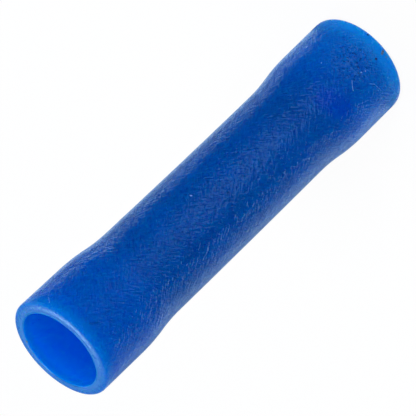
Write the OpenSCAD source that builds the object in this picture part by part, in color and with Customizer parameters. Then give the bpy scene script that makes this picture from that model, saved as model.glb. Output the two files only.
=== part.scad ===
// Insulated butt splice connector, for joining two wires end to end.
// A tinned copper tube is held in the waist of a plastic sleeve, and the sleeve's flared ends guide the wires in.
// The connector stands on one rim: +Z runs along the wires, and z = 0 is the lower rim.

/* [Crimp barrel] */

// Length of the copper tube
barrel_length = 15; // [11:0.5:17]
// Bore that takes the stripped strands
barrel_bore_d = 2.3; // [1.8:0.1:3.4]
// Wall of the copper tube
barrel_wall = 0.9; // [0.6:0.05:1.3]
// Chamfer that leads the strands into the bore
bore_chamfer = 0.25; // [0.1:0.05:0.4]
// Round on the outer edge of each end of the tube
barrel_edge_round = 0.15; // [0.05:0.05:0.3]

/* [Wire stop] */

// How deep the groove is rolled into the middle of the tube, and how far the bead stands into the bore
stop_depth = 0.5; // [0.3:0.05:0.8]
// Radius of the roller that forms the groove
stop_roller_r = 0.6; // [0.4:0.05:1]

/* [Insulating sleeve] */

// Overall length of the sleeve
sleeve_length = 25; // [23:0.5:32]
// Wall of the sleeve, the same at the waist and the ends
sleeve_wall = 0.64; // [0.4:0.02:1]
// How far each entry opens out past the copper tube, on the radius
entry_flare = 0.27; // [0.15:0.01:0.6]
// Length of the outer blend between the waist and a flared end
blend_length = 3.3; // [2:0.1:4.5]
// How much of the outer blend lies over the copper tube
blend_over_barrel = 1.5; // [0.8:0.1:3]
// Length of the inner throat that leads from the entry to the copper tube
throat_length = 2.4; // [1:0.1:3.5]
// Round on the outer edge of each rim
rim_round = 0.19; // [0.05:0.01:0.25]
// Round on the inner edge of each rim
lip_round = 0.05; // [0.02:0.01:0.12]

/* [Fit] */

// Gap left between the sleeve and the copper tube, on the radius
grip_clearance = 0.02; // [0.01:0.01:0.06]

/* [Hidden] */

$fn = 96;

bore_r = barrel_bore_d / 2;
barrel_r = bore_r + barrel_wall;
barrel_bottom = (sleeve_length - barrel_length) / 2;
middle_z = sleeve_length / 2;

// The sleeve's inside: a grip on the tube, opening out to the two entries.
grip_r = barrel_r + grip_clearance;
entry_r = barrel_r + entry_flare;
throat_top = barrel_bottom;
throat_bottom = throat_top - throat_length;

// The sleeve's outside keeps one wall, and its blend starts over the tube.
waist_r = grip_r + sleeve_wall;
rim_r = entry_r + sleeve_wall;
blend_top = barrel_bottom + blend_over_barrel;
blend_bottom = blend_top - blend_length;

// The roller's centre when the groove is fully rolled.
roller_x = barrel_r - stop_depth + stop_roller_r;

// Fills from the axis to an S curve of two equal arcs: end_r wide at bottom, mid_r wide at top.
module ogee_fill(end_r, mid_r, bottom, top) {
    rise = top - bottom;
    step = end_r - mid_r;
    arc_r = (rise * rise + step * step) / (4 * step);
    // on a short rise the lower arc's circle ends short of the axis, so the core is filled by itself
    translate([0, bottom])
        square([mid_r, rise]);
    intersection() {
        translate([end_r - arc_r, bottom])
            circle(r = arc_r);
        translate([0, bottom])
            square([end_r, rise / 2]);
    }
    difference() {
        translate([0, bottom + rise / 2])
            square([end_r, rise / 2]);
        translate([mid_r + arc_r, top])
            circle(r = arc_r);
    }
}

// Fills from the axis to a waisted wall, wide at both ends and narrow in the middle.
module waisted_fill(end_r, mid_r, bottom, top) {
    for (far = [0, 1])
        translate([0, far * sleeve_length])
            mirror([0, far]) {
                square([end_r, bottom]);
                ogee_fill(end_r, mid_r, bottom, top);
                translate([0, top])
                    square([mid_r, middle_z - top]);
            }
}

// The sliver outside a round of radius r, in the corner at the origin.
module corner_sliver(r) {
    difference() {
        square(r);
        translate([r, r])
            circle(r = r);
    }
}

// Half section of the sleeve, right of the axis.
module sleeve_section() {
    difference() {
        waisted_fill(rim_r, waist_r, blend_bottom, blend_top);
        waisted_fill(entry_r, grip_r, throat_bottom, throat_top);
        for (far = [0, 1])
            translate([0, far * sleeve_length])
                mirror([0, far]) {
                    translate([rim_r, 0])
                        mirror([1, 0])
                            corner_sliver(rim_round);
                    translate([entry_r, 0])
                        corner_sliver(lip_round);
                }
    }
}

// Half section of the copper tube, right of the axis, with its lower end at zero.
module barrel_section() {
    difference() {
        union() {
            translate([bore_r, 0])
                square([barrel_wall, barrel_length]);
            // the bead that the roller pushes into the bore keeps the tube's wall
            intersection() {
                translate([roller_x, barrel_length / 2])
                    circle(r = stop_roller_r + barrel_wall);
                translate([bore_r - stop_depth, 0])
                    square([stop_depth + barrel_wall, barrel_length]);
            }
        }
        translate([roller_x, barrel_length / 2])
            circle(r = stop_roller_r);
        for (far = [0, 1])
            translate([0, far * barrel_length])
                mirror([0, far]) {
                    translate([barrel_r, 0])
                        mirror([1, 0])
                            corner_sliver(barrel_edge_round);
                    polygon([[bore_r, 0], [bore_r + bore_chamfer, 0], [bore_r, bore_chamfer]]);
                }
    }
}

// Moulded plastic sleeve with a waist and two flared wire entries.
module insulating_sleeve() {
    color([0.02, 0.28, 0.66])
        rotate_extrude()
            sleeve_section();
}

// Tin-plated copper tube with a wire stop rolled into its middle.
module crimp_barrel() {
    color([0.78, 0.79, 0.8])
        translate([0, 0, barrel_bottom])
            rotate_extrude()
                barrel_section();
}

insulating_sleeve();
crimp_barrel();
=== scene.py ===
"""Looks of an insulated butt splice connector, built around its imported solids."""

import math

import bpy
from bpy.props import FloatProperty, FloatVectorProperty, IntProperty, PointerProperty
from bpy.types import Node, NodeSocket, Operator, Panel, PropertyGroup
from mathutils import Matrix, Vector


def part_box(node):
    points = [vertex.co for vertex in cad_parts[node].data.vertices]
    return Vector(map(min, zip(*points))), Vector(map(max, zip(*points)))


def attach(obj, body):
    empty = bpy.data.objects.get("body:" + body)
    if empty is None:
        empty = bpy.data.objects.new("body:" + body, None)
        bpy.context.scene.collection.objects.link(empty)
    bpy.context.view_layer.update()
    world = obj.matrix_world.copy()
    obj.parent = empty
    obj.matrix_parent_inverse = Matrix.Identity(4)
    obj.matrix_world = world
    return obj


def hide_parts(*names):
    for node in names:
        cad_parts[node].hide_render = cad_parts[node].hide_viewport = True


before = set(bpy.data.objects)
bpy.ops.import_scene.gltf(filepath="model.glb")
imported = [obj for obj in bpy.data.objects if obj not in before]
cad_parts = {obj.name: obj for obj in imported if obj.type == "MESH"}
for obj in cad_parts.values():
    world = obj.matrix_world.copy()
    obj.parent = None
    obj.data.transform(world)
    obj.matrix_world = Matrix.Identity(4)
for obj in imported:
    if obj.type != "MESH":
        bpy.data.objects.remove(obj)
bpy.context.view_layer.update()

bl_info = {
    "name": "Butt splice connector",
    "version": (1, 0, 0),
    "blender": (4, 5, 0),
    "location": "3D View > Sidebar > Splice",
    "description": "Builds the sleeve, the crimp barrel and the stage of a butt splice connector",
    "category": "Object",
}

SLEEVE_LOW, SLEEVE_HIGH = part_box("insulating_sleeve")
BARREL_LOW, BARREL_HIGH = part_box("crimp_barrel")
MM = 0.001
RIM_RADIUS = SLEEVE_HIGH[0]
# How far a spread rim moves towards -X, as a share of its spread.
SPREAD_LEAN = 0.8
# Longest faces along the sleeve's skin, its entries and its hidden grip, and along the barrel.
SKIN_STEP, ENTRY_STEP, GRIP_STEP, TUBE_STEP = 0.13 * MM, 0.2 * MM, 1.0 * MM, 0.5 * MM
# Faces across each crowned rim face.
FACE_STEPS = 6

# Half width of the floor, how far it lies under the part, and how white the camera sees it.
FLOOR_HALF = 2.0
FLOOR_DROP = 0.02 * MM
FLOOR_WHITE = 0.92
# Reflected cards start just outside the rims and have this many faces each.
CARD_FOOT = 3.1 * MM
CARD_STEPS = 32
# The camera's right, up and backward directions, its place and its lens, fitted to the outline.
CAMERA_AXES = (
    (0.693697, 0.369622, -0.618195),
    (-0.720267, 0.355986, -0.595390),
    (0.0, 0.858285, 0.513173),
)
CAMERA_PLACE = (0.0000193, 0.1397734, 0.0966144)
SENSOR_WIDTH, LENS = 36.0, 272.2


def linear(hex_colour):
    """An sRGB hex colour as three linear numbers."""
    parts = [int(hex_colour[i : i + 2], 16) / 255 for i in (1, 3, 5)]
    return tuple(p / 12.92 if p <= 0.04045 else ((p + 0.055) / 1.055) ** 2.4 for p in parts)


def length(name, text, default):
    """A size in metres that the sidebar shows as a length."""
    shown = {"precision": 5, "subtype": "DISTANCE", "unit": "LENGTH"}
    return FloatProperty(name=name, description=text, default=default, min=0.0, **shown)


def count(name, text, default):
    """A number of faces that the sidebar shows as a whole number."""
    return IntProperty(name=name, description=text, default=default, min=24)


def colour(name, text, hex_colour):
    """A colour that the sidebar shows as a swatch."""
    shown = {"min": 0.0, "max": 1.0, "size": 4, "subtype": "COLOR"}
    return FloatVectorProperty(name=name, description=text, default=(*linear(hex_colour), 1.0), **shown)


class SleeveSizes(PropertyGroup):
    """Sizes of the moulded sleeve."""

    height: length("Length", "Length of the sleeve, rim to rim", SLEEVE_HIGH[2] - SLEEVE_LOW[2])
    rim_radius: length("Rim radius", "Outer radius of the flared ends", 2.96 * MM)
    waist_radius: length("Waist radius", "Outer radius of the waist", 2.71 * MM)
    entry_radius: length("Entry radius", "Inner radius of the wire entries", 2.32 * MM)
    grip_radius: length("Grip radius", "Inner radius where the sleeve holds the barrel", 2.07 * MM)
    flare_length: length("Flare length", "Straight length of each flared end", 3.2 * MM)
    blend_length: length("Blend length", "Length of the blend from flare to waist", 3.3 * MM)
    entry_length: length("Entry length", "Straight length of each wire entry", 2.6 * MM)
    throat_length: length("Throat length", "Length of the throat from entry to barrel", 2.4 * MM)
    rim_round: length("Rim round", "Round on the outer edge of the rims", 0.19 * MM)
    lip_round: length("Lip round", "Round on the inner edge of the rims", 0.05 * MM)
    crown: FloatProperty(
        name="Crown",
        description="Slope of the crowned rim faces at their outer edge",
        default=math.radians(11),
        subtype="ANGLE",
    )
    bow: length("Bow", "How far the middle of the soft sleeve bows sideways", 0.062 * MM)
    out_of_square: length("Out of square", "How far the upper rim is cut out of square", 0.045 * MM)
    lower_spread: length("Lower spread", "How far the lower rim has spread", 0.03 * MM)
    upper_spread: length("Upper spread", "How far the upper rim has spread", 0.012 * MM)
    turn_steps: count("Turn steps", "Faces around the sleeve", 288)
    unevenness: length("Unevenness", "Height of the soft waves in the moulded skin", 0.012 * MM)
    unevenness_size: length("Unevenness size", "Width of the soft waves in the moulded skin", 1.4 * MM)


class BarrelSizes(PropertyGroup):
    """Sizes of the crimp barrel."""

    bottom: length("Bottom", "Height of the barrel's lower end", BARREL_LOW[2])
    height: length("Length", "Length of the barrel", BARREL_HIGH[2] - BARREL_LOW[2])
    radius: length("Radius", "Outer radius of the barrel", 2.05 * MM)
    bore_radius: length("Bore radius", "Radius of the bore", 1.15 * MM)
    chamfer: length("Chamfer", "Chamfer at the mouth of the bore", 0.25 * MM)
    edge_round: length("Edge round", "Round on the outer edges", 0.15 * MM)
    stop_depth: length("Stop depth", "How far the rolled wire stop stands into the bore", 0.5 * MM)
    roller_radius: length("Roller radius", "Radius of the rolled groove", 0.6 * MM)
    turn_steps: count("Turn steps", "Faces around the barrel", 160)
    unevenness: length("Unevenness", "Height of the soft waves in the tube", 0.006 * MM)
    unevenness_size: length("Unevenness size", "Width of the soft waves in the tube", 0.9 * MM)


class Finishes(PropertyGroup):
    """Colours of the pieces and the stage."""

    # The sleeve's own blue, with the barrel's shade painted in: darker where the barrel lies behind the
    # wall.
    waist_blue_and_shade: colour("Waist blue", "Blue of the sleeve where the barrel lies behind it", "#004496")
    # Painted light: the flares and rims are brighter where light comes through the wall.
    flare_painted_glow: colour("Flare blue", "Blue of the flared ends, with light behind the wall", "#004ba8")
    end_painted_glow: colour("End blue", "Brighter blue of the flares next to the rims", "#004fb2")
    rim_painted_glow: colour("Rim blue", "Bright blue beside the rims, where light leaks out", "#0064b8")
    # Painted light from the ground on the lower flare and the lower rim.
    low_painted_ground_light: colour("Low blue", "Blue of the lower flare, lit from the ground", "#0057b0")
    foot_painted_ground_light: colour("Foot blue", "Brighter blue of the lower rim, by the ground", "#007ed6")
    # Painted light through the wall at the rim faces and the entries, duller at the faces and next to
    # the rims.
    face_painted_glow: colour("Face blue", "Duller blue of the rim faces", "#046cba")
    inner_painted_glow: colour("Inner blue", "Blue of the wire entries, lit through the wall", "#0080ec")
    lip_painted_glow: colour("Lip blue", "Duller blue of the wire entries next to the rims", "#007ad2")
    grit: colour("Grit", "Dark specks ground into the sleeve", "#021a4c")
    # Partly real dust, partly a painted haze of glints over the dirty patch.
    dust: colour("Dust", "Greyish dust caught in the grain", "#2c62b0")
    # Painted shade: darker patches where the reflection haze vanishes.
    deep_painted_shade: colour("Deep blue", "Blue where the pigment lies thicker", "#003aa8")
    # Real rub marks by the upper rim, and also painted shade on the waist where the reflection haze
    # vanishes.
    scuff_and_shade: colour("Scuff", "Faint dark rub marks", "#003c8c")
    clay: colour("Clay", "Dull specks of clay on the rims", "#5e6062")
    lint: colour("Lint", "Pale dust and short hairs on the sleeve", "#7fa8e6")
    tin: colour("Tin", "Tin plating of the barrel", "#cfd0d0")
    worn_tin: colour("Worn tin", "Duller clouds in the tin plating", "#aeacaa")
    floor: colour("Floor", "Pale floor", "#f4f4f4")
    window: colour("Window", "Cool daylight that the skin reflects", "#b2d9ff")


# Grain of the sleeve's skin: width and depth of its creases, how many times longer than wide they are,
# their angle to the wires, and how far they and the clouds swing the red, the green and the blue. That
# swing is partly painted light and shade of the grain's bumps, and the clouds' swing partly paints
# shade where the reflection haze vanishes.
CREASE_WIDTH = 0.14 * MM
CREASE_DEPTH = 0.17 * MM
CREASE_STRETCH = 2.0
CREASE_TURN = math.radians(36)
CREASE_AND_SHADING_SWING = (0.24, 0.35, 0.20)
CLOUD_SIZE = 2.5 * MM
CLOUD_AND_SHADE_SWING = (0.10, 0.10, 0.10)
# Share of the grain that is left at the rims.
RIM_GRAIN = 0.15
# Roughness of the grained skin, from its shiniest to its dullest blotches, and what is added where
# it has no grain.
SKIN_ROUGHNESS = (0.08, 0.15)
BLOTCH_SIZE = 0.4 * MM
RIM_ROUGHER = 0.19
# Lines of the drawn tube, clouds in its tin and the roughness between and on the lines.
DRAW_WIDTH = 0.08 * MM
DRAW_DEPTH = 0.004 * MM
DRAW_STRETCH = 1 / 0.06
TIN_CLOUD_SIZE = 1.2 * MM
TIN_ROUGHNESS = (0.24, 0.42)
# Dirty patch near the lower end: its middle, how far it is dirty all over and at all, and how well
# the dirt covers.
DIRT_PLACE = (-0.28 * MM, 2.92 * MM, 2.15 * MM)
DIRT_CORE, DIRT_REACH = 0.5 * MM, 1.9 * MM
DIRT_COVER = 0.6
# Share of a mark's half width that is covered in full.
MARK_CORE = 0.3
# Marks on the sleeve, in mm: one end, the other end and the half width, then the finish that they
# take and how well it covers. Most are grit, clay, lint and scuffs that handling left; the first two
# are painted shade, darker patches where the reflection haze vanishes.
MARKS = (
    # Painted shade on the lower blend.
    ((0.20, 2.85, 4.90), (1.15, 2.65, 4.50), 0.900, "deep_painted_shade", 0.7),
    # Painted shade on the waist.
    ((1.15, 2.45, 17.40), (1.15, 2.45, 15.20), 0.450, "scuff_and_shade", 0.7),
    ((-1.05, 2.50, 14.76), (-1.01, 2.52, 14.73), 0.055, "lint", 1.0),
    ((0.47, 2.92, 2.25), (0.48, 2.92, 2.23), 0.055, "lint", 0.6),
    ((0.58, 2.90, 1.97), (0.59, 2.90, 1.96), 0.040, "lint", 0.6),
    ((-1.34, 2.63, 3.46), (-1.34, 2.63, 3.44), 0.045, "lint", 0.6),
    ((0.44, 2.93, 3.02), (0.69, 2.87, 3.25), 0.024, "lint", 0.6),
    ((0.69, 2.87, 3.25), (0.88, 2.82, 3.36), 0.024, "lint", 0.6),
    ((1.22, 2.69, 2.21), (1.41, 2.60, 1.94), 0.020, "lint", 0.4),
    ((1.41, 2.60, 1.94), (1.61, 2.48, 1.84), 0.020, "lint", 0.4),
    ((1.61, 2.48, 1.84), (1.89, 2.27, 1.70), 0.016, "lint", 0.4),
    ((-2.28, 1.89, 24.36), (-2.04, 2.15, 24.66), 0.030, "lint", 0.35),
    ((0.50, 2.91, 0.96), (0.51, 2.91, 0.94), 0.090, "grit", 1.0),
    ((-0.72, 2.87, 0.23), (-0.71, 2.87, 0.23), 0.080, "grit", 1.0),
    # A real dark scuff by the upper rim.
    ((0.09, 2.95, 24.28), (0.21, 2.95, 24.09), 0.075, "scuff_and_shade", 0.7),
    ((0.21, 2.95, 24.09), (0.30, 2.94, 23.92), 0.065, "scuff_and_shade", 0.7),
    ((0.41, 2.93, 0.16), (0.47, 2.92, 0.30), 0.080, "clay", 0.5),
    ((0.47, 2.92, 0.30), (0.53, 2.90, 0.44), 0.105, "clay", 0.8),
    ((0.80, 2.84, 0.36), (0.82, 2.84, 0.34), 0.085, "clay", 0.45),
    ((-1.49, -1.87, 25.0), (-1.45, -1.90, 25.0), 0.080, "clay", 0.9),
)


def put(tree, kind, inputs=None, **settings):
    """Adds a node.

    inputs maps a live socket's name or number to a value, or to the node or socket that feeds it.
    """
    node = tree.nodes.new(kind)
    for key, value in settings.items():
        setattr(node, key, value)
    live = [socket for socket in node.inputs if socket.enabled]
    for key, value in (inputs or {}).items():
        socket = live[key] if isinstance(key, int) else next(s for s in live if s.name == key)
        if isinstance(value, Node):
            value = next(s for s in value.outputs if s.enabled)
        if isinstance(value, NodeSocket):
            tree.links.new(value, socket)
        else:
            socket.default_value = value
    return node


def new_material(name):
    """A material, its node tree, its Principled shader and its object coordinates."""
    material = bpy.data.materials.new(name)
    material.use_nodes = True
    tree = material.node_tree
    tree.nodes.clear()
    shader = put(tree, "ShaderNodeBsdfPrincipled")
    put(tree, "ShaderNodeOutputMaterial", {"Surface": shader})
    place = put(tree, "ShaderNodeTexCoord").outputs["Object"]
    return material, tree, shader, place


def blue_pvc(finish, sleeve, barrel):
    """Soft PVC from a spark-eroded mould: a fine grain, smoother by the rims and in the entries.

    The wall lets light through. The base colour paints that light and shade: darker over the barrel,
    brighter at the flares, the rims and inside, and lit from the ground at the lower end.
    """
    material, tree, shader, place = new_material("blue_pvc")
    half, barrel_end = sleeve.height / 2, barrel.height / 2
    wall_middle = (sleeve.rim_radius + sleeve.entry_radius) / 2
    level_out, stand_up = (1.0, 1.0, 0.0), (0.0, 0.0, 1.0)
    across = put(tree, "ShaderNodeVectorMath", {0: place, 1: level_out}, operation="MULTIPLY")
    radius = put(tree, "ShaderNodeVectorMath", {0: across}, operation="LENGTH")
    centred = put(tree, "ShaderNodeVectorMath", {0: place, 1: (0.0, 0.0, -half)}, operation="ADD")
    along = put(tree, "ShaderNodeVectorMath", {0: centred, 1: stand_up}, operation="MULTIPLY")
    from_middle = put(tree, "ShaderNodeVectorMath", {0: along}, operation="LENGTH")
    height = put(tree, "ShaderNodeSeparateXYZ", {0: place}).outputs["Z"]

    # The painted glow in the wire entries is duller next to the rims.
    lipped = {"Value": from_middle, "From Min": half - 0.6 * MM, "From Max": half - 0.1 * MM}
    lip = put(tree, "ShaderNodeMapRange", lipped, interpolation_type="SMOOTHSTEP")
    entry_painted_glow = {"Factor": lip, "A": finish.inner_painted_glow, "B": finish.lip_painted_glow}
    entry = put(tree, "ShaderNodeMix", entry_painted_glow, data_type="RGBA")
    bore = sleeve.entry_radius
    # Zones of colour: what each is measured by, where it starts and is full, and its blue. Past the
    # waist's painted shade of the barrel, they paint the glow of light through the wall at the flares,
    # rims, rim faces and entries, and light from the ground on the lower end.
    tone = finish.waist_blue_and_shade
    for measure, start, end, shade in (
        (from_middle, barrel_end - 2.2 * MM, barrel_end + 3.0 * MM, finish.flare_painted_glow),
        (from_middle, half - 2.6 * MM, half - 0.6 * MM, finish.end_painted_glow),
        # Painted light from the ground.
        (height, 5.0 * MM, 0.8 * MM, finish.low_painted_ground_light),
        (from_middle, half - 0.9 * MM, half - 0.1 * MM, finish.rim_painted_glow),
        (height, 1.7 * MM, 0.0, finish.foot_painted_ground_light),
        (from_middle, half - 0.14 * MM, half - 0.04 * MM, finish.face_painted_glow),
        (radius, bore + 0.035 * MM, bore + 0.015 * MM, entry),
    ):
        reach = {"Value": measure, "From Min": start, "From Max": end}
        share = put(tree, "ShaderNodeMapRange", reach, interpolation_type="SMOOTHSTEP")
        zoned = {"Factor": share, "A": tone, "B": shade}
        tone = put(tree, "ShaderNodeMix", zoned, data_type="RGBA")

    # Grain of the eroded tool over soft clouds in the pigment. It is drawn as two sets of creases that
    # cross along helices, and coarser than it is, so that it shows. Its swing in the colour is partly
    # painted light and shade of the grain's bumps, and the clouds partly paint shade where the
    # reflection haze vanishes.
    clouded = {"Vector": place, "W": 1.0, "Scale": 1 / CLOUD_SIZE}
    cloud = put(tree, "ShaderNodeTexNoise", clouded, noise_dimensions="4D")
    creases = []
    for seed, hand in ((2.0, 1.0), (7.0, -1.0)):
        lead = hand * math.tan(CREASE_TURN) / sleeve.waist_radius
        turn = put(tree, "ShaderNodeMath", {0: height, 1: lead}, operation="MULTIPLY")
        twist = {"Vector": place, "Angle": turn}
        twisted = put(tree, "ShaderNodeVectorRotate", twist, rotation_type="Z_AXIS")
        stretch = {0: twisted, 1: (1.0, 1.0, 1 / CREASE_STRETCH)}
        drawn = put(tree, "ShaderNodeVectorMath", stretch, operation="MULTIPLY")
        creased = {"Vector": drawn, "W": seed, "Scale": 1 / CREASE_WIDTH, "Detail": 1.0}
        creased["Roughness"] = 0.5
        creases.append(put(tree, "ShaderNodeTexNoise", creased, noise_dimensions="4D"))
    grain = put(tree, "ShaderNodeMix", {"Factor": 0.5, "A": creases[0], "B": creases[1]})

    # The grain covers the outside and fades out towards the rims.
    skin = {"Value": radius, "From Min": wall_middle - 0.2 * MM}
    skin["From Max"] = sleeve.waist_radius - 0.06 * MM
    outside = put(tree, "ShaderNodeMapRange", skin, interpolation_type="SMOOTHSTEP")
    worn = {"Value": from_middle, "From Min": half - 1.2 * MM, "From Max": half - 0.2 * MM}
    worn["To Min"], worn["To Max"] = 1.0, RIM_GRAIN
    smoothed = put(tree, "ShaderNodeMapRange", worn, interpolation_type="SMOOTHSTEP")
    textured = put(tree, "ShaderNodeMath", {0: outside, 1: smoothed}, operation="MULTIPLY")
    even = Vector((1.0, 1.0, 1.0))
    for pattern, depth in ((cloud, CLOUD_AND_SHADE_SWING), (grain, CREASE_AND_SHADING_SWING)):
        swing = {"Vector": pattern, "From Min": 0.25 * even, "From Max": 0.75 * even}
        swing["To Min"], swing["To Max"] = even - Vector(depth), even + Vector(depth)
        level = put(tree, "ShaderNodeMapRange", swing, data_type="FLOAT_VECTOR")
        shaded = put(tree, "ShaderNodeVectorMath", {0: tone, 1: level}, operation="MULTIPLY")
        mottled = {"Factor": textured, "A": tone, "B": shaded}
        tone = put(tree, "ShaderNodeMix", mottled, data_type="RGBA")

    # Dust and fine specks ground in near the lower end. The greyish dust is partly a painted haze of
    # glints over the patch.
    dirty = put(tree, "ShaderNodeVectorMath", {0: place, 1: DIRT_PLACE}, operation="DISTANCE")
    fade = {"Value": dirty, "From Min": DIRT_REACH, "From Max": DIRT_CORE}
    patch = put(tree, "ShaderNodeMapRange", fade, interpolation_type="SMOOTHSTEP")
    for seed, size, start, end, shade in (
        (6.0, 0.16 * MM, 0.46, 0.66, finish.dust),
        (9.0, 0.11 * MM, 0.56, 0.66, finish.grit),
    ):
        specked = {"Vector": place, "W": seed, "Scale": 1 / size, "Detail": 1.0}
        specks = put(tree, "ShaderNodeTexNoise", specked, noise_dimensions="4D")
        picked = {"Value": specks, "From Min": start, "From Max": end, "To Max": DIRT_COVER}
        dots = put(tree, "ShaderNodeMapRange", picked, interpolation_type="SMOOTHSTEP")
        ground_in = put(tree, "ShaderNodeMath", {0: patch, 1: dots}, operation="MULTIPLY")
        soiled = {"Factor": ground_in, "A": tone, "B": shade}
        tone = put(tree, "ShaderNodeMix", soiled, data_type="RGBA")

    for start, end, width, kind, cover in MARKS:
        start, end = on_skin(sleeve, start), on_skin(sleeve, end)
        reach = end - start
        offset = put(tree, "ShaderNodeVectorMath", {0: place, 1: start}, operation="SUBTRACT")
        gone = {0: offset, 1: reach / reach.length_squared}
        rise = put(tree, "ShaderNodeVectorMath", gone, operation="DOT_PRODUCT")
        rise = put(tree, "ShaderNodeClamp", {"Value": rise})
        nearest = put(tree, "ShaderNodeVectorMath", {0: reach, "Scale": rise}, operation="SCALE")
        away = put(tree, "ShaderNodeVectorMath", {0: offset, 1: nearest}, operation="DISTANCE")
        edge = {"Value": away, "From Min": width * MM, "From Max": MARK_CORE * width * MM}
        edge["To Max"] = cover
        share = put(tree, "ShaderNodeMapRange", edge, interpolation_type="SMOOTHSTEP")
        covered = {"Factor": share, "A": tone, "B": getattr(finish, kind)}
        tone = put(tree, "ShaderNodeMix", covered, data_type="RGBA")
    tree.links.new(tone.outputs[2], shader.inputs["Base Color"])

    relief = put(tree, "ShaderNodeMath", {0: textured, 1: grain}, operation="MULTIPLY")
    bump = put(tree, "ShaderNodeBump", {"Height": relief, "Distance": CREASE_DEPTH, "Strength": 1.0})
    tree.links.new(bump.outputs[0], shader.inputs["Normal"])
    blotched = {"Vector": place, "W": 3.0, "Scale": 1 / BLOTCH_SIZE}
    blotch = put(tree, "ShaderNodeTexNoise", blotched, noise_dimensions="4D")
    polished = {"Value": blotch, "From Min": 0.3, "From Max": 0.7}
    polished["To Min"], polished["To Max"] = SKIN_ROUGHNESS
    gloss = put(tree, "ShaderNodeMapRange", polished)
    plain = put(tree, "ShaderNodeMath", {0: 1.0, 1: textured}, operation="SUBTRACT")
    dulled = {0: plain, 1: RIM_ROUGHER, 2: gloss}
    rough = put(tree, "ShaderNodeMath", dulled, operation="MULTIPLY_ADD")
    tree.links.new(rough.outputs[0], shader.inputs["Roughness"])
    shader.inputs["Specular IOR Level"].default_value = 0.4
    shader.inputs["Subsurface Weight"].default_value = 1.0
    shader.inputs["Subsurface Radius"].default_value = (0.1, 0.4, 1.0)
    shader.inputs["Subsurface Scale"].default_value = 1.1 * MM
    return material


def tinned_copper(finish):
    """Drawn copper tube, electroplated with tin: satin, with faint lines along the draw."""
    material, tree, shader, place = new_material("tinned_copper")
    stretch = {0: place, 1: (1.0, 1.0, 1 / DRAW_STRETCH)}
    drawn = put(tree, "ShaderNodeVectorMath", stretch, operation="MULTIPLY")
    lined = {"Vector": drawn, "W": 4.0, "Scale": 1 / DRAW_WIDTH, "Detail": 3.0}
    lines = put(tree, "ShaderNodeTexNoise", lined, noise_dimensions="4D")
    clouded = {"Vector": place, "W": 5.0, "Scale": 1 / TIN_CLOUD_SIZE}
    cloud = put(tree, "ShaderNodeTexNoise", clouded, noise_dimensions="4D")
    dulled = {"Value": cloud, "From Min": 0.35, "From Max": 0.65}
    dull = put(tree, "ShaderNodeMapRange", dulled, interpolation_type="SMOOTHSTEP")
    plated = {"Factor": dull, "A": finish.tin, "B": finish.worn_tin}
    tone = put(tree, "ShaderNodeMix", plated, data_type="RGBA")
    tree.links.new(tone.outputs[2], shader.inputs["Base Color"])
    brushed = {"Value": lines, "From Min": 0.25, "From Max": 0.75}
    brushed["To Min"], brushed["To Max"] = TIN_ROUGHNESS
    gloss = put(tree, "ShaderNodeMapRange", brushed)
    tree.links.new(gloss.outputs[0], shader.inputs["Roughness"])
    bump = put(tree, "ShaderNodeBump", {"Height": lines, "Distance": DRAW_DEPTH, "Strength": 0.6})
    tree.links.new(bump.outputs[0], shader.inputs["Normal"])
    shader.inputs["Metallic"].default_value = 1.0
    return material


def arc(centre, radius, start, end, steps):
    """Points on an arc in the section plane, angles in degrees."""
    turns = [math.radians(start + (end - start) * i / steps) for i in range(steps + 1)]
    return [(centre[0] + radius * math.cos(a), centre[1] + radius * math.sin(a)) for a in turns]


def run(a, b, step):
    """Points from a up to but not including b, no further apart than step."""
    steps = max(1, math.ceil(math.dist(a, b) / step))
    shares = [i / steps for i in range(steps)]
    return [(a[0] + (b[0] - a[0]) * u, a[1] + (b[1] - a[1]) * u) for u in shares]


def sway(u):
    """How far an S curve of two equal arcs has gone over at a share u of its length."""
    return 2 * u * u if u < 0.5 else 1 - 2 * (1 - u) ** 2


def ogee(a, b, steps):
    """Points on an S curve that leaves a and meets b along the axis, without b itself."""
    (ra, za), (rb, zb) = a, b
    return [(ra + (rb - ra) * sway(i / steps), za + (zb - za) * i / steps) for i in range(steps)]


def on_skin(s, point):
    """A point in mm, moved in depth onto the outer wall as it is bowed and spread.

    A point on a rim face stays where it is.
    """
    x, y, z = Vector(point) * MM
    if z < s.height:
        level = 2 * z / s.height - 1
        u = min(max((min(z, s.height - z) - s.flare_length) / s.blend_length, 0.0), 1.0)
        spread = s.upper_spread if level > 0 else s.lower_spread
        radius = s.rim_radius + (s.waist_radius - s.rim_radius) * sway(u) + spread * level**2
        axis = s.bow * (1 - level**2) - SPREAD_LEAN * spread * level**2
        y = math.copysign(math.sqrt(radius**2 - (x - axis) ** 2), y)
    return Vector((x, y, z))


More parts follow.
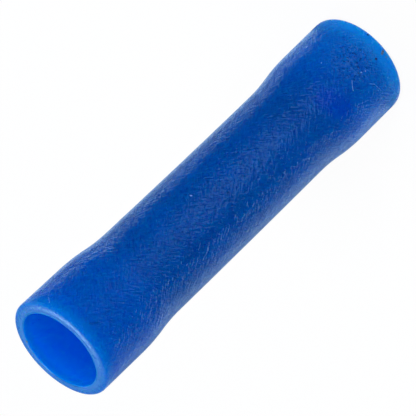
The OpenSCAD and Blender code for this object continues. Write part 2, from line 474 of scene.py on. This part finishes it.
def sleeve_section(s):
    """Closed half section of the sleeve, anticlockwise from the middle of its grip.

    Its points are (radius, height).
    """
    rim, lip, half = s.rim_round, s.lip_round, s.height / 2
    blend_end = s.flare_length + s.blend_length
    throat_end = s.entry_length + s.throat_length
    face_start = s.entry_radius + lip
    face_end = s.rim_radius - rim + rim * math.sin(s.crown)
    drop = (face_end - face_start) * math.tan(s.crown) / 2
    corner = (s.rim_radius - rim, drop + rim * math.cos(s.crown))
    outer = arc(corner, rim, math.degrees(s.crown) - 90, 0, 7)
    outer += run((s.rim_radius, corner[1]), (s.rim_radius, s.flare_length), SKIN_STEP)[1:]
    outer += ogee((s.rim_radius, s.flare_length), (s.waist_radius, blend_end), 30)
    outer += run((s.waist_radius, blend_end), (s.waist_radius, half), SKIN_STEP)
    lip_turns = (0.0, math.pi / 6, math.pi / 3)
    inner = [(face_start - lip * math.sin(a), lip - lip * math.cos(a)) for a in lip_turns]
    inner += run((s.entry_radius, lip), (s.entry_radius, s.entry_length), ENTRY_STEP)
    inner += ogee((s.entry_radius, s.entry_length), (s.grip_radius, throat_end), 16)
    inner += run((s.grip_radius, throat_end), (s.grip_radius, half), GRIP_STEP)
    shares = [i / FACE_STEPS for i in range(FACE_STEPS)]
    face = [(face_start + (face_end - face_start) * u, drop * u**2) for u in shares]
    lower = inner[::-1] + face + outer
    upper = [(r, s.height - z) for r, z in lower[::-1]]
    return lower + [(s.waist_radius, half)] + upper + [(s.grip_radius, half)]


def barrel_section(b):
    """Closed half section of the barrel, anticlockwise from the middle of the bore.

    Its points are (radius, height).
    """
    middle = b.bottom + b.height / 2
    wall = b.radius - b.bore_radius
    centre = (b.radius - b.stop_depth + b.roller_radius, middle)
    bead = b.roller_radius + wall
    bead_turn = math.degrees(math.acos((centre[0] - b.bore_radius) / bead))
    groove_turn = math.degrees(math.acos((centre[0] - b.radius) / b.roller_radius))
    bead_foot = middle - bead * math.sin(math.radians(bead_turn))
    groove_foot = middle - b.roller_radius * math.sin(math.radians(groove_turn))
    lower = arc(centre, bead, 180, 180 + bead_turn, 12)
    lower += run((b.bore_radius, bead_foot), (b.bore_radius, b.bottom + b.chamfer), TUBE_STEP)[1:]
    lower += [(b.bore_radius, b.bottom + b.chamfer), (b.bore_radius + b.chamfer, b.bottom)]
    edge = (b.radius - b.edge_round, b.bottom + b.edge_round)
    lower += arc(edge, b.edge_round, -90, 0, 5)
    lower += run((b.radius, edge[1]), (b.radius, groove_foot), TUBE_STEP)[1:]
    lower += arc(centre, b.roller_radius, 180 + groove_turn, 180, 10)
    upper = [(r, 2 * middle - z) for r, z in lower[-2:0:-1]]
    return lower + upper


def revolving_tree():
    """Node group that turns a section about Z.

    It also bows the piece, sets its upper end out of square, spreads its ends and raises soft waves
    in its skin.
    """
    tree = bpy.data.node_groups.new("Turn section", "GeometryNodeTree")
    sockets = (
        ("Section", "NodeSocketObject"),
        ("Turn Steps", "NodeSocketInt"),
        ("Length", "NodeSocketFloat"),
        ("Bow", "NodeSocketFloat"),
        ("Out of Square", "NodeSocketFloat"),
        ("Lower Spread", "NodeSocketFloat"),
        ("Upper Spread", "NodeSocketFloat"),
        ("Unevenness", "NodeSocketFloat"),
        ("Unevenness Size", "NodeSocketFloat"),
        ("Seed", "NodeSocketFloat"),
        ("Material", "NodeSocketMaterial"),
    )
    for name, kind in sockets:
        tree.interface.new_socket(name, in_out="INPUT", socket_type=kind)
    tree.interface.new_socket("Geometry", in_out="OUTPUT", socket_type="NodeSocketGeometry")
    given = put(tree, "NodeGroupInput").outputs
    here = put(tree, "GeometryNodeInputPosition").outputs[0]

    drawing = {"Object": given["Section"]}
    section = put(tree, "GeometryNodeObjectInfo", drawing, transform_space="ORIGINAL")
    on_section = put(tree, "GeometryNodeCaptureAttribute", {0: section.outputs["Geometry"]})
    on_section.capture_items.new("VECTOR", "Section Place")
    tree.links.new(here, on_section.inputs["Section Place"])
    round_about = {"Resolution": given["Turn Steps"], "Radius": 1.0}
    circle = put(tree, "GeometryNodeCurvePrimitiveCircle", round_about)
    on_circle = put(tree, "GeometryNodeCaptureAttribute", {0: circle.outputs["Curve"]})
    on_circle.capture_items.new("VECTOR", "Turn Place")
    tree.links.new(here, on_circle.inputs["Turn Place"])

    swept = {"Curve": on_circle.outputs[0], "Profile Curve": on_section.outputs[0]}
    turned = put(tree, "GeometryNodeCurveToMesh", swept)
    drawn = put(tree, "ShaderNodeSeparateXYZ", {0: on_section.outputs["Section Place"]})
    radius, height, _ = drawn.outputs
    outward = {0: on_circle.outputs["Turn Place"], "Scale": radius}
    across = put(tree, "ShaderNodeVectorMath", outward, operation="SCALE")
    along = put(tree, "ShaderNodeCombineXYZ", {"Z": height})
    place = put(tree, "ShaderNodeVectorMath", {0: across, 1: along}, operation="ADD")
    solid = put(tree, "GeometryNodeSetPosition", {"Geometry": turned, "Position": place})

    # From -1 at the lower end to 1 at the upper end.
    x, _, z = put(tree, "ShaderNodeSeparateXYZ", {0: here}).outputs
    share = put(tree, "ShaderNodeMath", {0: z, 1: given["Length"]}, operation="DIVIDE")
    level = put(tree, "ShaderNodeMath", {0: share, 1: 2.0, 2: -1.0}, operation="MULTIPLY_ADD")
    square = put(tree, "ShaderNodeMath", {0: level, 1: level}, operation="MULTIPLY")
    belly = put(tree, "ShaderNodeMath", {0: 1.0, 1: square}, operation="SUBTRACT")
    sideways = put(tree, "ShaderNodeMath", {0: belly, 1: given["Bow"]}, operation="MULTIPLY")
    upper = put(tree, "ShaderNodeMath", {0: level, 1: 0.0}, operation="MAXIMUM")
    lean = put(tree, "ShaderNodeMath", {0: upper, 1: given["Out of Square"]}, operation="MULTIPLY")
    side = put(tree, "ShaderNodeMath", {0: x, 1: -1.0 / RIM_RADIUS}, operation="MULTIPLY")
    upwards = put(tree, "ShaderNodeMath", {0: lean, 1: side}, operation="MULTIPLY")
    bend = put(tree, "ShaderNodeCombineXYZ", {"X": sideways, "Z": upwards})
    for way, end in ((-1.0, "Lower Spread"), (1.0, "Upper Spread")):
        reach = put(tree, "ShaderNodeMath", {0: level, 1: way}, operation="MULTIPLY")
        reach = put(tree, "ShaderNodeMath", {0: reach, 1: 0.0}, operation="MAXIMUM")
        growth = put(tree, "ShaderNodeMath", {0: reach, 1: reach}, operation="MULTIPLY")
        growth = put(tree, "ShaderNodeMath", {0: growth, 1: given[end]}, operation="MULTIPLY")
        spreading = {0: here, 1: (1 / RIM_RADIUS, 1 / RIM_RADIUS, 0.0), 2: (-SPREAD_LEAN, 0.0, 0.0)}
        outwards = put(tree, "ShaderNodeVectorMath", spreading, operation="MULTIPLY_ADD")
        opened = put(tree, "ShaderNodeVectorMath", {0: outwards, "Scale": growth}, operation="SCALE")
        bend = put(tree, "ShaderNodeVectorMath", {0: bend, 1: opened}, operation="ADD")
    bowed = put(tree, "GeometryNodeSetPosition", {"Geometry": solid, "Offset": bend})

    size = put(tree, "ShaderNodeMath", {0: 1.0, 1: given["Unevenness Size"]}, operation="DIVIDE")
    rolling = {"Vector": here, "W": given["Seed"], "Scale": size, "Detail": 2.0}
    waves = put(tree, "ShaderNodeTexNoise", rolling, noise_dimensions="4D")
    centred = put(tree, "ShaderNodeMath", {0: waves, 1: 0.5}, operation="SUBTRACT")
    lift = put(tree, "ShaderNodeMath", {0: centred, 1: given["Unevenness"]}, operation="MULTIPLY")
    normal = put(tree, "GeometryNodeInputNormal")
    offset = put(tree, "ShaderNodeVectorMath", {0: normal, "Scale": lift}, operation="SCALE")
    skin = put(tree, "GeometryNodeSetPosition", {"Geometry": bowed, "Offset": offset})

    smooth = put(tree, "GeometryNodeSetShadeSmooth", {"Geometry": skin})
    real = put(tree, "GeometryNodeRealizeInstances", {"Geometry": smooth})
    coated = put(tree, "GeometryNodeSetMaterial", {"Geometry": real, "Material": given["Material"]})
    put(tree, "NodeGroupOutput", {0: coated})
    return tree


def turned_piece(name, points, inputs):
    """A plain mesh object: a closed section of (radius, height) points, turned about Z.

    inputs are those of the node group.
    """
    curve = bpy.data.curves.new(name + "_section", "CURVE")
    curve.dimensions = "2D"
    spline = curve.splines.new("POLY")
    spline.points.add(len(points) - 1)
    spline.use_cyclic_u = True
    for point, (radius, height) in zip(spline.points, points):
        point.co = (radius, height, 0.0, 1.0)
    section = bpy.data.objects.new(name + "_section", curve)
    holder = bpy.data.objects.new(name + "_turned", bpy.data.meshes.new(name + "_turned"))
    for made in (section, holder):
        bpy.context.scene.collection.objects.link(made)

    tree = bpy.data.node_groups.get("Turn section") or revolving_tree()
    modifier = holder.modifiers.new("Turn section", "NODES")
    modifier.node_group = tree
    identifiers = {i.name: i.identifier for i in tree.interface.items_tree if i.in_out == "INPUT"}
    for key, value in {"Section": section, **inputs}.items():
        modifier[identifiers[key]] = value
    bpy.context.view_layer.update()
    evaluated = holder.evaluated_get(bpy.context.evaluated_depsgraph_get())
    mesh = bpy.data.meshes.new_from_object(evaluated)
    mesh.name = name
    holder.modifiers.remove(modifier)
    for used in (holder, section):
        bpy.data.objects.remove(used)
    if not mesh.polygons:
        raise RuntimeError(f"{name} came out empty")
    piece = bpy.data.objects.new(name, mesh)
    bpy.context.scene.collection.objects.link(piece)
    return piece


def hand_over(piece, node):
    """The piece rides on the part and stands for the CAD node, which it hides."""
    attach(piece, "root")
    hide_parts(node)


class SPLICE_OT_sleeve(Operator):
    """Mould the insulating sleeve"""

    bl_idname = "splice.sleeve"
    bl_label = "Insulating sleeve"

    def execute(self, context):
        scene = context.scene
        sleeve = scene.splice_sleeve
        inputs = {
            "Turn Steps": sleeve.turn_steps,
            "Length": sleeve.height,
            "Bow": sleeve.bow,
            "Out of Square": sleeve.out_of_square,
            "Lower Spread": sleeve.lower_spread,
            "Upper Spread": sleeve.upper_spread,
            "Unevenness": sleeve.unevenness,
            "Unevenness Size": sleeve.unevenness_size,
            "Seed": 7.0,
            "Material": blue_pvc(scene.splice_finishes, sleeve, scene.splice_barrel),
        }
        piece = turned_piece("sleeve_moulding", sleeve_section(sleeve), inputs)
        hand_over(piece, "insulating_sleeve")
        return {"FINISHED"}


class SPLICE_OT_barrel(Operator):
    """Turn the crimp barrel with its rolled wire stop"""

    bl_idname = "splice.barrel"
    bl_label = "Crimp barrel"

    def execute(self, context):
        scene = context.scene
        barrel = scene.splice_barrel
        inputs = {
            "Turn Steps": barrel.turn_steps,
            "Length": scene.splice_sleeve.height,
            "Bow": scene.splice_sleeve.bow,
            "Out of Square": 0.0,
            "Lower Spread": 0.0,
            "Upper Spread": 0.0,
            "Unevenness": barrel.unevenness,
            "Unevenness Size": barrel.unevenness_size,
            "Seed": 8.0,
            "Material": tinned_copper(scene.splice_finishes),
        }
        piece = turned_piece("barrel_tube", barrel_section(barrel), inputs)
        hand_over(piece, "crimp_barrel")
        return {"FINISHED"}


def white_to_the_camera(tree, shader, white, share):
    """Mixes a share of white into a shader for camera, glossy and transmission rays.

    The ground looks white that way, and light still falls on it.
    """
    path = put(tree, "ShaderNodeLightPath").outputs
    seen = path["Is Camera Ray"]
    for ray in ("Is Glossy Ray", "Is Transmission Ray"):
        seen = put(tree, "ShaderNodeMath", {0: seen, 1: path[ray]}, operation="MAXIMUM")
    seen = put(tree, "ShaderNodeMath", {0: seen, 1: share}, operation="MULTIPLY")
    return put(tree, "ShaderNodeMixShader", {0: seen, 1: shader, 2: white})


def soft_lamp(name, place, size, watts, aim, mirrored=True):
    """A soft box of a width and a height that faces aim and isn't seen itself.

    A mirrored one also shows as a highlight, in the colour of the window.
    """
    lamp = bpy.data.lights.new(name, "AREA")
    lamp.shape = "RECTANGLE"
    lamp.size, lamp.size_y = size
    lamp.energy = watts
    made = bpy.data.objects.new(name, lamp)
    made.location = place
    made.rotation_euler = (Vector(aim) - Vector(place)).to_track_quat("-Z", "Y").to_euler()
    made.visible_camera = False
    made.visible_glossy = mirrored
    if mirrored:
        lamp.color = bpy.context.scene.splice_finishes.window[:3]
    bpy.context.scene.collection.objects.link(made)


def reflected_card(name, start, end, reach, rise, shade, glow=None):
    """A card around the part that only reflections see, between two bearings.

    The bearings are in degrees from +Y towards +X. Each ray of the card starts at half its bearing,
    where the flank mirrors the view that way. Its light is even, or a glow that fades out from a
    middle (across, up) over a spread (wide, high).
    """
    card, tree, shader, place = new_material(name)
    shader.inputs["Base Color"].default_value = (0.0, 0.0, 0.0, 1.0)
    shader.inputs["Specular IOR Level"].default_value = 0.0
    shader.inputs["Emission Color"].default_value = bpy.context.scene.splice_finishes.window
    shader.inputs["Emission Strength"].default_value = shade
    if glow:
        (across, up), (wide, high) = glow
        centre, squeeze = (-across / wide, 0.0, -up / high), (1 / wide, 0.0, 1 / high)
        placed = {"Vector": place, "Location": centre, "Scale": squeeze}
        spot = put(tree, "ShaderNodeMapping", placed)
        disc = put(tree, "ShaderNodeTexGradient", {0: spot}, gradient_type="SPHERICAL")
        faded = put(tree, "ShaderNodeMath", {0: disc.outputs[1], 1: shade}, operation="MULTIPLY")
        tree.links.new(faded.outputs[0], shader.inputs["Emission Strength"])
    points = []
    for i in range(CARD_STEPS + 1):
        bearing = math.radians(start + (end - start) * i / CARD_STEPS)
        inner = Vector((math.sin(bearing / 2), math.cos(bearing / 2), 0.0)) * CARD_FOOT
        ray = Vector((math.sin(bearing), math.cos(bearing), 0.0))
        for far, high in zip(reach, rise):
            points.append(inner + ray * far + Vector((0.0, 0.0, high)))
    faces = [(2 * i, 2 * i + 1, 2 * i + 3, 2 * i + 2) for i in range(CARD_STEPS)]
    mesh = bpy.data.meshes.new(name)
    mesh.from_pydata(points, [], faces)
    mesh.materials.append(card)
    made = bpy.data.objects.new(name, mesh)
    made.visible_camera = made.visible_diffuse = made.visible_transmission = made.visible_shadow = False
    bpy.context.scene.collection.objects.link(made)


class SPLICE_OT_stage(Operator):
    """Lay the pale floor, set the soft lights and aim the camera"""

    bl_idname = "splice.stage"
    bl_label = "Stage"

    def execute(self, context):
        scene = context.scene
        scene.view_settings.view_transform = "Standard"

        material, tree, shader, _ = new_material("pale_floor")
        shader.inputs["Base Color"].default_value = scene.splice_finishes.floor
        shader.inputs["Roughness"].default_value = 0.9
        shader.inputs["Specular IOR Level"].default_value = 0.0
        white = put(tree, "ShaderNodeEmission", {"Color": (1.0, 1.0, 1.0, 1.0), "Strength": 1.0})
        out = next(n for n in tree.nodes if n.type == "OUTPUT_MATERIAL")
        ground = white_to_the_camera(tree, shader, white, FLOOR_WHITE)
        tree.links.new(ground.outputs[0], out.inputs["Surface"])
        mesh = bpy.data.meshes.new("floor")
        sides = ((-1, -1), (1, -1), (1, 1), (-1, 1))
        corners = [(x * FLOOR_HALF, y * FLOOR_HALF, -FLOOR_DROP) for x, y in sides]
        mesh.from_pydata(corners, [], [(0, 1, 2, 3)])
        mesh.materials.append(material)
        floor = bpy.data.objects.new("floor", mesh)
        scene.collection.objects.link(floor)

        # Where the cards on the floor start, change their brightness and end, out from the part.
        near, middle, far = 1.2 * MM, 35 * MM, 150 * MM
        on_floor = (0.02 * MM, 0.02 * MM)
        # Each card's bearings, and its brightness: where the waist and the lower end mirror it,
        # and where the upper end does.
        for name, start, end, shade, far_shade in (
            ("front_flag", -127, 92, 0.015, 0.015),
            ("right_card_b", 92, 107, 0.2, 0.06),
            ("right_card_c", 107, 124, 2.0, 0.95),
            ("right_card_d", 124, 139, 0.45, 0.32),
            ("right_card_e", 139, 158, 1.45, 1.05),
            ("right_back_card", 158, 194, 0.65, 0.55),
            ("left_back_card", -194, -172, 0.65, 0.6),
            ("left_card_e", -172, -158, 1.45, 1.4),
            ("left_card_d", -158, -150, 0.58, 0.45),
            ("left_card_c", -150, -136, 1.8, 1.3),
            ("left_card_b", -136, -127, 0.3, 0.2),
        ):
            reflected_card(name, start, end, (near, middle), on_floor, shade)
            reflected_card(name + "_far", start, end, (middle, far), on_floor, far_shade)
        for name, start, end, reach, rise, shade in (
            ("foot_ring", -180, 180, (0.0, near), on_floor, 0.22),
            ("window_foot", -12, 8, (near, 4 * MM), (0.04 * MM, 0.04 * MM), 0.3),
            ("back_drape", 110, 250, (0.25, 0.3), (0.0, 0.3), 0.58),
            ("front_drape", -110, 110, (0.25, 0.03), (0.0, 0.45), 0.09),
        ):
            reflected_card(name, start, end, reach, rise, shade)
        window = ((-0.8 * MM, 4.0 * MM), (3.4 * MM, 18.0 * MM))
        reflected_card("window", -80, 80, (6 * MM, 6 * MM), (3.8 * MM, 24 * MM), 3.3, window)

        world = bpy.data.worlds.new("soft_room")
        scene.world = world
        world.use_nodes = True
        tree = world.node_tree
        tree.nodes.clear()
        room = put(tree, "ShaderNodeBackground", {"Color": (1.0, 1.0, 1.0, 1.0), "Strength": 0.5})
        white = put(tree, "ShaderNodeBackground", {"Color": (1.0, 1.0, 1.0, 1.0), "Strength": 1.0})
        put(tree, "ShaderNodeOutputWorld", {"Surface": white_to_the_camera(tree, room, white, 1.0)})

        aim = (0.0, 0.0, scene.splice_sleeve.height / 2)
        soft_lamp("top_box", (-0.02, 0.12, 0.30), (0.1, 0.1), 0.42, aim, mirrored=False)
        soft_lamp("back_box", (-0.01, -0.22, 0.25), (0.07, 0.1), 0.22, aim)
        soft_lamp("front_box", (-0.05, 0.29, 0.03), (0.2, 0.2), 0.36, aim, mirrored=False)
        soft_lamp("right_box", (0.36, 0.02, 0.12), (0.2, 0.2), 0.21, aim, mirrored=False)
        soft_lamp("left_box", (-0.36, 0.06, 0.10), (0.2, 0.2), 0.28, aim, mirrored=False)

        camera = bpy.data.cameras.new("photo_camera")
        camera.sensor_width, camera.lens = SENSOR_WIDTH, LENS
        camera.clip_start, camera.clip_end = 0.005, 20.0
        seer = bpy.data.objects.new("photo_camera", camera)
        across, up, back = CAMERA_AXES
        turn = Matrix((across, up, back)).transposed().to_4x4()
        seer.matrix_world = Matrix.Translation(CAMERA_PLACE) @ turn
        scene.collection.objects.link(seer)
        scene.camera = seer
        return {"FINISHED"}


class SPLICE_PT_panel(Panel):
    """Lists the pieces and their sizes"""

    bl_label = "Butt splice connector"
    bl_idname = "SPLICE_PT_panel"
    bl_space_type = "VIEW_3D"
    bl_region_type = "UI"
    bl_category = "Splice"

    def draw(self, context):
        scene = context.scene
        for group, operator in (
            (scene.splice_sleeve, "splice.sleeve"),
            (scene.splice_barrel, "splice.barrel"),
            (scene.splice_finishes, "splice.stage"),
        ):
            box = self.layout.box()
            for name in group.bl_rna.properties.keys():
                if name not in ("rna_type", "name"):
                    box.prop(group, name)
            box.operator(operator)


CLASSES = (
    SleeveSizes,
    BarrelSizes,
    Finishes,
    SPLICE_OT_sleeve,
    SPLICE_OT_barrel,
    SPLICE_OT_stage,
    SPLICE_PT_panel,
)


def register():
    for made in CLASSES:
        bpy.utils.register_class(made)
    bpy.types.Scene.splice_sleeve = PointerProperty(type=SleeveSizes)
    bpy.types.Scene.splice_barrel = PointerProperty(type=BarrelSizes)
    bpy.types.Scene.splice_finishes = PointerProperty(type=Finishes)


def unregister():
    del bpy.types.Scene.splice_finishes
    del bpy.types.Scene.splice_barrel
    del bpy.types.Scene.splice_sleeve
    for made in reversed(CLASSES):
        bpy.utils.unregister_class(made)


def main():
    register()
    bpy.ops.splice.sleeve()
    bpy.ops.splice.barrel()
    bpy.ops.splice.stage()


if __name__ == "__main__":
    main()
